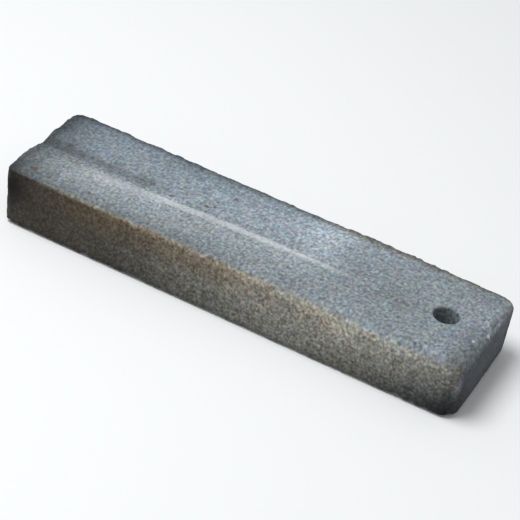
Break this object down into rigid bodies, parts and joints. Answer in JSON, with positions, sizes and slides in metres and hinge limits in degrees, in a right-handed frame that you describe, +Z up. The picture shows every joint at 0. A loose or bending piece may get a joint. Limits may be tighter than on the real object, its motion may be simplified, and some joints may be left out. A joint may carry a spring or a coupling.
{
  "type": "sharpening whetstone",
  "caption": "Sharpening whetstone: slim round-edged bar of blue-grey abrasive grit, with a worn crest and groove along its top and a lanyard hole through one end.",
  "frame": {"origin": "centre of the bounding box, on the flat underside", "axes": "+Z up out of the worn top face; +X along the stone towards the end with the lanyard hole; +Y across it, from the crest towards the worn back half"},
  "size_m": [0.1, 0.027, 0.013],
  "materials": {
    "abrasive_grit": "matte"
  },
  "bodies": {
    "root": {"whetstone_body": "abrasive_grit"}
  },
  "joints": []
}
